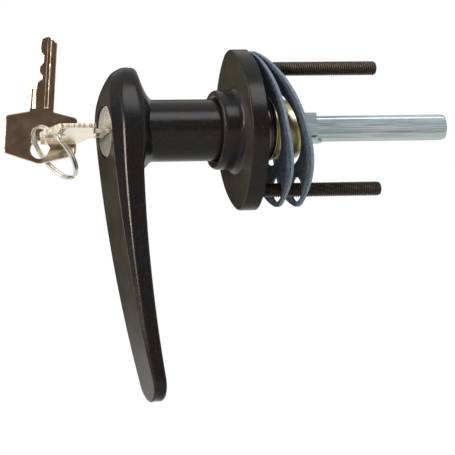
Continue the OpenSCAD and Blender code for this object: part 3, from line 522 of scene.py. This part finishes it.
def lever_casting():
    """The lever with its neck as one closed ring of profiles.

    From the lock's bore over the flat front, the rounded bevel, the side and the back, along the neck and
    the spigot, and back through the spindle's pocket.
    """
    front, low = lever_ring(1, 0, 0, 0), lever_ring(0, 0, 1, 0)
    # The back edge is rounded more over the crown than along the sides
    crown = np.clip(EDGE_Z / LEVER_TOP, 0, 1)[:, None] ** 2
    back_round = BACK_ROUND + CROWN_BACK_ROUND * crown
    deep = lever_ring(0, SIDE_INSET, 1, SIDE_START + SIDE_START_CROWN * crown[:, 0])
    corner = lever_ring(0, SIDE_INSET, 1, 1)
    inner = lever_ring(0, BACK_RIM + back_round[:, 0], 1, 1)
    # Along the sides the bevel is hollow and turns up to a narrow crest; over the crown it is rounded instead
    hollow = front + HOLLOW_AT * (low - front)
    crest = low[:, 0] - CREST_RISE * taper(BEVEL_SIDE, BEVEL_SIDE_TIP, EDGE_Z)
    hollow[:, 0] = crest + crown[:, 0] * (front[:, 0] + CROWN_HOLLOW * (low - front)[:, 0] - crest)
    front_soft, hollow_soft, low_soft = 0.5 + 1.5 * crown, 0.25 + 1.2 * crown, 0.3 + 1.5 * crown
    mouth = circle_rows([[LOCK_MOUTH_R + MOUTH_EDGE, 0]])[0]
    mouth[:, 0] = front_x(mouth[:, 2])
    lip = circle_rows([[LOCK_MOUTH_R, 0]])[0]
    lip[:, 0] = mouth[:, 0] + MOUTH_EDGE
    face = rows_between(mouth, front, np.linspace(0, 1, FACE_ROWS + 2)[1:-1], lambda y, z: front_x(z))
    neck = circle_rows([[NECK_R, 0]])[0]
    start = rows_between(inner, neck, np.zeros(1), back_x)
    # Rows lie closer together towards the neck
    behind = rows_between(inner, neck, np.linspace(0, 1, BACK_ROWS + 1)[1:] ** 0.75, back_x)
    tail = circle_rows([[NECK_R, -NECK_EDGE], [NECK_R - NECK_EDGE, 0], [SPIGOT_R, 0],
                        [SPIGOT_R, SPIGOT_END - SPIGOT_EDGE], [SPIGOT_R - SPIGOT_EDGE, SPIGOT_END],
                        [POCKET_R, SPIGOT_END], [POCKET_R, SPINDLE_ROOT], [TAIL_R, SPINDLE_ROOT],
                        [TAIL_R, LOCK_BORE_END], [BARREL_R, LOCK_BORE_END], [BARREL_R, BARREL_X],
                        [LOCK_MOUTH_R, BARREL_X]])
    rows = np.concatenate([
        lip[None], mouth[None], face,
        eased(face[-1], front, hollow, front_soft, 6), eased(front, hollow, low, hollow_soft, 5),
        eased(hollow, low, deep, low_soft, 6, 0.7), deep[None],
        eased(deep, corner, start[0], back_round, 9, 0.95), start, behind,
        filled(np.concatenate([behind[-1:], tail[:1]]), 2.0)[1:], tail[1:]])
    surface("lever_casting", [(rows, True)], "handle", BLACK_COAT, ["handle_lever"])


lever_casting()


# Flange, studs and rear stack

FLANGE_HALF_L, FLANGE_HALF_W, FLANGE_END_R, FLANGE_X, FLANGE_BACK_EDGE = 28.2, 21.0, 11.0, -6.1, 0.3
FLANGE_BORE, BOSS_R, BOSS_X, BOSS_MOUTH_R, BOSS_MOUTH_X = 10.7, 13.7, -13.5, 11.85, -12.3
NOTCH_HALF, NOTCH_REACH, NOTCH_X = 4.8, 13.68, -4.7
STUD_R, STUD_Z, THREAD_PITCH, THREAD_DEEP = 2.5, 21.5, 0.8, 0.46
WASHER_BORE, WASHER_R, SPACER_R = 9.5, 12.2, 10.75
CUP_BORE, CUP_LIP_R, CUP_R, CUP_HOLE = 9.36, 10.75, 10.25, 4.05
CUP_X, CUP_LIP_END, CUP_WALL_X, CUP_FLOOR, CUP_END = 5.9, 6.8, 7.3, 15.5, 16.4
SPINDLE_HALF, SPINDLE_EDGE, SPINDLE_END = 4.0, 1.2, 70.7


def ring_rows(radii, xs, angles):
    """Rows round the X axis: one row for each radius, a number or an array over the angles, at its own x."""
    r = np.stack([np.broadcast_to(np.asarray(radius, float), angles.shape) for radius in radii])
    x = np.broadcast_to(np.asarray(xs, float)[:, None], r.shape)
    return np.stack([x, r * np.cos(angles), r * np.sin(angles)], axis=-1)


def softened(rows, lengths, steps=5):
    """A closed round of rows in which every row with a length is rounded by a parabola of that length."""
    out = []
    for i, length in enumerate(lengths):
        if length > 0:
            out.append(eased(rows[i - 1], rows[i], rows[(i + 1) % len(rows)], length, steps))
        else:
            out.append(rows[i:i + 1])
    return np.concatenate(out)


def oval_radius(angles, half_l, half_w, end_r):
    """Distance from the middle to a four-arc oval, in each direction: two end arcs and two large side arcs."""
    big = (half_w ** 2 - end_r ** 2 + (half_l - end_r) ** 2) / (2 * (half_w - end_r))
    meet = math.atan2(half_l - end_r, big - half_w)
    t = np.linspace(0, math.pi / 2, 900)
    y = np.where(t < meet, big * np.cos(t) - (big - half_w), end_r * np.cos(t))
    z = np.where(t < meet, big * np.sin(t), half_l - end_r + end_r * np.sin(t))
    quarter = np.arctan2(np.abs(np.sin(angles)), np.abs(np.cos(angles)))
    return np.interp(quarter, np.arctan2(z, y), np.hypot(y, z))


def notched_radius(angles, bore, half_w, reach):
    """Distance to a round bore with four square notches, one along each axis."""
    c, s = np.abs(np.cos(angles)), np.abs(np.sin(angles))
    long, short = np.maximum(c, s), np.minimum(c, s)
    return np.maximum(bore, np.minimum(reach / long, half_w / np.maximum(short, 1e-6)))


def square_radius(angles, half, edge):
    """Distance to a square bar with chamfered edges that are softened by a high power of the distances."""
    c, s = np.abs(np.cos(angles)), np.abs(np.sin(angles))
    power = 40
    flats = (c / half) ** power + (s / half) ** power
    corner = ((c + s) / (2 * half - edge)) ** power
    return (flats + corner) ** (-1 / power)


def flange_casting():
    """The oval flange with its boss as one closed round of profiles, from the bore over the front to the back."""
    a = np.linspace(0, TURN, 360, endpoint=False)
    oval = oval_radius(a, FLANGE_HALF_L, FLANGE_HALF_W, FLANGE_END_R)
    notch = notched_radius(a, FLANGE_BORE, NOTCH_HALF, NOTCH_REACH)
    rows = ring_rows([FLANGE_BORE, BOSS_MOUTH_R, BOSS_R, BOSS_R, oval,
                      oval, oval - FLANGE_BACK_EDGE, notch, notch, FLANGE_BORE],
                     [BOSS_MOUTH_X, BOSS_X, BOSS_X, FLANGE_X, FLANGE_X,
                      -FLANGE_BACK_EDGE, 0, 0, NOTCH_X, NOTCH_X], a)
    # Rounded at the boss's mouth, its rim and its foot, and at the flange's front edge
    rows = softened(rows, [0, 0.4, 1.6, 2.4, 0.7, 0, 0, 0, 0, 0], 7)
    surface("flange_casting", [(filled(rows, 3.0), True)], "flange", BLACK_COAT, ["base_flange"])


def threaded_stud(name, node, z, reach):
    """A stud with a rolled thread: its radius falls and rises once in each pitch along a helix, to a coned end."""
    x = np.linspace(-0.5, reach, int(reach / 0.1))[:, None]
    a = np.linspace(0, TURN, 32, endpoint=False)
    flank = np.abs(2 * ((x / THREAD_PITCH - a / TURN) % 1) - 1)
    thread = STUD_R - THREAD_DEEP * np.clip(1.25 * flank - 0.12, 0, 1)
    end = np.interp(x, [reach - 1, reach - 0.3, reach], [STUD_R, 2.1, 1.5])
    r = np.minimum(thread, end)
    grid = np.stack([np.broadcast_to(x, r.shape), r * np.cos(a), z + r * np.sin(a)], axis=-1)
    surface(name, [(grid, False)], "flange", BLACK_OXIDE, [node], 50)


def washer(name, node, x0, x1, inner, outer):
    """A flat washer with softened edges, turned round the X axis."""
    a = np.linspace(0, TURN, 128, endpoint=False)
    rows = softened(ring_rows([inner, outer, outer, inner], [x0, x0, x1, x1], a), [0.1, 0.25, 0.25, 0.1], 4)
    surface(name, [(rows, True)], "handle", DARK_STEEL, [node])


def cup():
    """The pressed cup over the spigot: a turned lip, wall and rounded end with a square hole for the spindle."""
    a = np.linspace(0, TURN, 160, endpoint=False)
    hole = square_radius(a, CUP_HOLE, 0.05)
    rows = ring_rows([CUP_BORE, CUP_LIP_R, CUP_LIP_R, CUP_R, CUP_R, hole, hole, CUP_BORE],
                     [CUP_X, CUP_X, CUP_LIP_END, CUP_WALL_X, CUP_END, CUP_END, CUP_FLOOR, CUP_FLOOR], a)
    rows = softened(rows, [0, 0.45, 0.3, 0.4, 1.6, 0, 0, 0], 8)
    surface("pressed_cup", [(filled(rows, 2.0), True)], "handle", YELLOW_ZINC, ["retaining_cup"])


def square_spindle():
    """The drawn square bar: a chamfered square carried along X, its corners cut back by a cone at its end."""
    x = np.concatenate([np.linspace(SPINDLE_ROOT, 66, 40), np.linspace(66.3, SPINDLE_END, 24)])[:, None]
    a = np.linspace(0, TURN, 160, endpoint=False)
    cone = np.interp(x, [68.4, 70.5, SPINDLE_END], [5.3, 4.4, 4.2])
    r = np.minimum(square_radius(a, SPINDLE_HALF, SPINDLE_EDGE), cone)
    grid = np.stack([np.broadcast_to(x, r.shape), r * np.cos(a), r * np.sin(a)], axis=-1)
    surface("square_spindle", [(grid, False)], "handle", BRIGHT_ZINC, ["spindle"], 25)


flange_casting()
threaded_stud("upper_thread", "upper_stud", STUD_Z, 47.6)
threaded_stud("lower_thread", "lower_stud", -STUD_Z, 45.4)
washer("front_washer", "front_thrust_washer", 0.05, 1.55, WASHER_BORE, WASHER_R)
washer("rear_washer", "rear_thrust_washer", 2.8, 4.3, WASHER_BORE, WASHER_R)
washer("cup_washer", "spacer_washer", 4.3, 5.8, WASHER_BORE, SPACER_R)
cup()
square_spindle()


# Keys and ring

KEY_T, BOW_W, BOW_SIDE, BOW_POINT, BOW_SLOPE, BOW_ROUND = 1.6, 25.0, 13.0, 3.6, 1.8, 1.2
BOW_HOLE, BOW_HOLE_IN, STEM_L, STEM_W, BLADE_L, BLADE_H, CUT_DEEP = 6.2, 5.0, 7.8, 8.2, 18.8, 6.4, 1.9
GROOVE_HALF, GROOVE_Y, GROOVE_APART, GROOVE_DEEP, RECESS_DEEP = 0.65, 0.9, 0.6, 0.35, 0.3
RING_R, WIRE_HALF_W, WIRE_HALF_T, TURNS_APART = 10.5, 0.5, 0.41, 0.86
BOW_L = BOW_POINT + BOW_SIDE + BOW_SLOPE
KEY_STOP = np.array([-49.55, -(STEM_W - BLADE_H) / 2, -KEYWAY_DROP])
KEY_HOLE = KEY_STOP + [-STEM_L - BOW_L + BOW_HOLE_IN, 0, 0]
# Bitting: shares of the blade's length and of the cuts' depth, from the stop to the tip
CUT_PLACE = np.array([0.05, 0.12, 0.19, 0.26, 0.34, 0.41, 0.5, 0.64, 0.73, 0.86])
CUT_SHARE = np.array([0, 0.1, 0.95, 0.95, 0.35, 0.35, 1, 1, 0.35, 0.35])


def turn_matrix(x, y, z):
    """Rotation about X, then Y, then Z, in degrees."""
    return np.array(Matrix.Rotation(math.radians(z), 3, "Z") @ Matrix.Rotation(math.radians(y), 3, "Y")
                    @ Matrix.Rotation(math.radians(x), 3, "X"))


def bow_grid():
    """The bow as a closed round of outlines, from the hole out to the edge on one face and back on the other.

    Each row lies a share of the way from the hole's circle to the bow's outline. The edges are rounded
    except where the stem goes on.
    """
    half, stem, joint = BOW_W / 2, STEM_W / 2, -STEM_L + 1
    slope, side, point = -STEM_L - BOW_SLOPE, -STEM_L - BOW_SLOPE - BOW_SIDE, -STEM_L - BOW_L
    corners = [[joint, stem], [-STEM_L, stem], [slope, half], [side, half], [point, 0], [side, -half],
               [slope, -half], [-STEM_L, -stem], [joint, -stem]]
    edge = eased_path(corners, [0, 0.6] + [BOW_ROUND] * 5 + [0.6, 0], 7)
    edge = np.concatenate([edge, np.stack([np.full(12, joint), np.linspace(-stem, stem, 14)[1:-1]], axis=-1)])
    run = np.concatenate([[0], np.cumsum(np.linalg.norm(np.diff(edge, axis=0, append=edge[:1]), axis=1))])
    loop = np.concatenate([edge, edge[:1]])
    at = np.union1d(np.linspace(0, run[-1], 240, endpoint=False), run[:-1])
    outer = np.stack([np.interp(at, run, loop[:, 0]), np.interp(at, run, loop[:, 1])], axis=-1)
    middle = np.array([point + BOW_HOLE_IN, 0])
    ray = (outer - middle) / np.linalg.norm(outer - middle, axis=1, keepdims=True)
    hole = middle + ray * BOW_HOLE / 2
    rounded = (outer[:, :1] < joint - 1e-6) * 1.0
    h = KEY_T / 2
    spec = [(0, 0.0, h - 0.15), (0, 0.05, h - 0.05), (0, 0.2, h)]
    face = [(t, 0.0, h) for t in np.linspace(0.12, 0.9, 8)]
    rim = [(1, -0.22, h), (1, -0.08, h - 0.06), (1, 0.0, h - 0.2)]
    rows = []
    for share, shift, z in spec + face + rim:
        flat = hole + (outer - hole) * share + ray * shift * (rounded if share == 1 else 1)
        height = np.where(rounded[:, 0] > 0, z, h) if share == 1 else np.full(len(flat), z)
        rows.append(np.concatenate([flat, height[:, None]], axis=1))
    front = np.stack(rows)
    back = front[::-1] * [1, 1, -1]
    return np.concatenate([front, back])


def blade_grid():
    """Stem and blade as sections across the key, one for each place along it.

    A section runs from the bitted edge to the straight edge on one face and back on the other; its height
    falls off at both edges, in the milled groove and in the stem's sloping recess.
    """
    stem = STEM_W / 2
    low = stem - BLADE_H
    x = np.union1d(np.linspace(-STEM_L + 1, BLADE_L, 220), [-0.01, 0.01])
    lower = np.interp(x, np.concatenate([[-STEM_L, -0.01, 0.01], CUT_PLACE * BLADE_L, [BLADE_L - 1, BLADE_L]]),
                      np.concatenate([[-stem, -stem, low], low + CUT_DEEP * CUT_SHARE,
                                      [low + CUT_DEEP * 0.6, stem - BLADE_H * 0.45]]))
    upper = np.interp(x, [-STEM_L, BLADE_L - 2.4, BLADE_L], [stem, stem, stem - BLADE_H * 0.45])
    v = np.concatenate([[0, 0.008, 0.025], np.linspace(0.05, 0.95, 60), [0.975, 0.992, 1]])
    y = lower[:, None] + (upper - lower)[:, None] * v
    off = np.minimum(y - lower[:, None], upper[:, None] - y)
    edge = KEY_T / 2 - 0.2 * np.maximum(0, 1 - off / 0.25) ** 2

    def face(side):
        wall = np.clip((GROOVE_HALF - np.abs(y - GROOVE_Y + side * GROOVE_APART)) / 0.15, 0, 1)
        inside = np.clip((x[:, None] + STEM_L * 0.85) / 0.6, 0, 1)
        slope = np.interp(y - lower[:, None], [0.6, 0.7, 2.0], [0, 1, 0]) * (x[:, None] < 0)
        return side * (edge - GROOVE_DEEP * wall * inside - RECESS_DEEP * slope)

    wide = np.broadcast_to(x[:, None], y.shape)
    return np.concatenate([np.stack([wide, y, face(1)], axis=-1),
                           np.stack([wide, y, face(-1)], axis=-1)[:, ::-1]], axis=1)


def stamped_key(name, node, body, material, turn, place):
    """One key, its two shells turned by a matrix and moved so that its stop lies at a place."""
    shells = [(bow_grid() @ turn.T + place, True), (blade_grid() @ turn.T + place, False)]
    surface(name, shells, body, material, [node], 35)


def split_ring(centre, turn):
    """Two turns of flat wire: a rounded section carried round a circle that steps up once between the turns."""
    gap, rise = 0.12, 0.9  # radians that the wire stops short, and over which it steps up
    s = np.linspace(0, 2 * TURN - gap, 300)[:, None]
    step = np.clip((s - TURN + rise / 2) / rise, 0, 1)
    lift = TURNS_APART * (step ** 2 * (3 - 2 * step) - 0.5)
    b = np.linspace(0, TURN, 16, endpoint=False)
    r = RING_R + WIRE_HALF_W * np.sign(np.cos(b)) * np.abs(np.cos(b)) ** 0.5
    z = lift + WIRE_HALF_T * np.sign(np.sin(b)) * np.abs(np.sin(b)) ** 0.6
    grid = np.stack([r * np.cos(s), r * np.sin(s), np.broadcast_to(z, (len(s), len(b)))], axis=-1)
    surface("split_ring", [(grid @ turn.T + centre, False)], "ring", RING_NICKEL, ["key_ring"])


SPARE_TURN = turn_matrix(1.2, 7.5, -18.6) @ turn_matrix(0, -90, -90)
stamped_key("key", "key_in_lock", "key", KEY_NICKEL_LIT, np.eye(3), KEY_STOP)
stamped_key("second_key", "spare_key", "spare", SPARE_NICKEL_SHADED, SPARE_TURN,
            KEY_HOLE + [0.14, 19.73, -0.94] + SPARE_TURN @ [STEM_L + BOW_L - BOW_HOLE_IN, 0, 0])
split_ring(KEY_HOLE + [2.88, 10.68, -3.9], turn_matrix(0, 54.3, 4.5))


# Gaskets, and CAD pieces that stay in view with softened edges

GASKET_DROP = 28.0  # from the spindle axis down to the level of the full twist


def softened_edges(piece, width):
    """A bevel on the sharp edges of a piece, width in millimetres."""
    bevel = piece.modifiers.new("softened_edges", "BEVEL")
    bevel.width, bevel.segments, bevel.limit_method = width * MM, 2, "ANGLE"
    bevel.angle_limit = math.radians(40)
    bevel.harden_normals = True


def twisted_gasket(name, node, twist, shift):
    """A gasket's solid with its lower half twisted, as a loose sheet hangs.

    Below the spindle axis each level turns about the sheet's own middle line, up to twist degrees at the
    lower end, and moves towards the flange, up to shift millimetres, both by a smooth step of depth.
    """
    points, triangles = arrays_of(nodes[node].data)
    place = np.array(nodes[node].matrix_world)
    points = (points @ place[:3, :3].T + place[:3, 3]) / MM
    # Points in the same place become one, so that the bevel finds the edges between faces
    points, number = np.unique(np.round(points, 4), axis=0, return_inverse=True)
    faces = number.reshape(-1)[triangles]
    x, y, z = points.T
    middle = np.polyval(np.polyfit(z, x, 3), z)
    low = np.clip(-z / GASKET_DROP, 0, 1)
    share = low ** 2 * (3 - 2 * low)
    a = math.radians(twist) * share
    bent = np.stack([middle + (x - middle) * np.cos(a) - y * np.sin(a) - shift * share,
                     (x - middle) * np.sin(a) + y * np.cos(a), z], axis=-1)
    piece = piece_of(name, bent, faces.tolist(), "flange", GASKET, [node])
    softened_edges(piece, 0.15)


twisted_gasket("front_sheet", "front_gasket", 9, 0.3)
twisted_gasket("rear_sheet", "rear_gasket", 9, 1.6)
softened_edges(nodes["spindle_collar"], 0.15)
softened_edges(nodes["plug_face_cap"], 0.1)


# Stage, light and camera

def camera_like_photo():
    """A long lens at the photo's angle: ahead of the lever's left side, a little below, rolled slightly."""
    side, below, roll = np.radians([17.8, 12.0, 1.1]).tolist()
    pixels, pixels_per_mm, away, sensor = 455, 2.9, 1.6, 36
    # The pixel of the photo where the spindle axis meets the flange's back
    axis_right, axis_down = 250.6, 129.7
    right = Vector((math.cos(side), -math.sin(side) * math.cos(below), -math.sin(side) * math.sin(below)))
    up = Vector((0, -math.sin(below), math.cos(below)))
    ahead = Vector((math.sin(side), math.cos(side) * math.cos(below), math.cos(side) * math.sin(below)))
    width, pixel = pixels / pixels_per_mm * MM, MM / pixels_per_mm
    turned_right = right * math.cos(roll) - up * math.sin(roll)
    turned_up = right * math.sin(roll) + up * math.cos(roll)
    aim = turned_right * (pixels / 2 - axis_right) * pixel - turned_up * (pixels / 2 - axis_down) * pixel
    camera = bpy.data.objects.new("camera", bpy.data.cameras.new("camera"))
    bpy.context.scene.collection.objects.link(camera)
    camera.data.sensor_width = sensor
    camera.data.lens = sensor * away / width
    camera.data.clip_end = 20
    basis = Matrix((turned_right, turned_up, -ahead)).transposed()
    camera.matrix_world = Matrix.Translation(aim - ahead * away) @ basis.to_4x4()
    bpy.context.scene.camera = camera


def soft_light(name, place, at, size, power, tint="#ffffff"):
    """A square soft box at a place, turned to a point, both in metres."""
    lamp = bpy.data.objects.new(name, bpy.data.lights.new(name, "AREA"))
    lamp.data.shape, lamp.data.size, lamp.data.energy = "SQUARE", size, power
    lamp.data.color = srgb(tint)[:3]
    lamp.location = place
    lamp.rotation_euler = (Vector(at) - Vector(place)).to_track_quat("-Z", "Y").to_euler()
    bpy.context.scene.collection.objects.link(lamp)


def seen_directly(tree):
    """An output that is 1 for what the camera sees, straight or by reflection, and 0 for light on its way."""
    path = add(tree, "LightPath")
    seen = add(tree, "Math", {0: path.outputs["Is Camera Ray"], 1: path.outputs["Is Glossy Ray"]},
               operation="MAXIMUM")
    return add(tree, "Math", {0: seen.outputs[0], 1: path.outputs["Is Transmission Ray"]},
               operation="MAXIMUM").outputs[0]


def white_surroundings(strength):
    """A white world that the camera and reflections see at strength 1, and that lights the rest more softly."""
    world = bpy.data.worlds.new("white_surroundings")
    bpy.context.scene.world = world
    world.use_nodes = True
    tree = world.node_tree
    level = add(tree, "MapRange", {"Value": seen_directly(tree), "To Min": strength, "To Max": 1.0})
    back = tree.nodes["Background"]
    back.inputs["Color"].default_value = (1, 1, 1, 1)
    tree.links.new(level.outputs["Result"], back.inputs["Strength"])


def flat_piece(name, corners, material):
    """A flat object with four corners, in metres."""
    mesh = bpy.data.meshes.new(name)
    mesh.from_pydata(corners, [], [(0, 1, 2, 3)])
    mesh.materials.append(material)
    piece = bpy.data.objects.new(name, mesh)
    bpy.context.scene.collection.objects.link(piece)
    return piece


def pale_floor(level):
    """A plain pale floor well below the handle, level in metres; seen directly it is as white as the world."""
    material, tree, shader, _ = finish_of("pale_floor", {"Base Color": srgb("#f4f4f2"), "Roughness": 0.9})
    white = add(tree, "Emission", {"Color": srgb("#ffffff"), "Strength": 1.0})
    both = add(tree, "MixShader", {0: seen_directly(tree), 1: shader.outputs["BSDF"], 2: white.outputs["Emission"]})
    tree.links.new(both.outputs["Shader"], tree.nodes["Material Output"].inputs["Surface"])
    half = 6.0
    floor = flat_piece("floor", [(-half, -half, level), (half, -half, level), (half, half, level),
                                 (-half, half, level)], material)


def dark_card(name, tint, y, x_span, z_span):
    """A dark upright card that only reflections see, so that a glossy face which mirrors it looks dark."""
    material, *_ = finish_of(name, {
        "Base Color": srgb("#000000"), "Specular IOR Level": 0.0, "Emission Color": srgb(tint),
        "Emission Strength": 1.0})
    (x0, x1), (z0, z1) = x_span, z_span
    card = flat_piece(name, [(x0, y, z0), (x1, y, z0), (x1, y, z1), (x0, y, z1)], material)
    card.visible_camera = card.visible_diffuse = card.visible_shadow = False


camera_like_photo()
white_surroundings(0.35)
pale_floor(-0.5)
dark_card("camera_card", "#776757", -1.9, (-2.4, 1.9), (-0.9, 1.3))
dark_card("back_card", "#4e4a41", 1.9, (-2.2, 1.2), (0.1, 1.8))
soft_light("key_light", (-1.2, -0.35, 0.7), (-0.03, 0, -0.03), 0.8, 18)
soft_light("top_light", (0.45, -1.05, 0.97), (0.02, 0, 0), 0.7, 12, "#dce8ff")
soft_light("edge_light", (-1.05, -0.84, 0.16), (-0.03, 0, -0.04), 0.14, 9.5, "#fdf8f2")
soft_light("front_light", (-0.40, -1.21, -0.26), (0, 0, 0), 0.12, 1.2)

bpy.context.scene.view_settings.view_transform = "Standard"
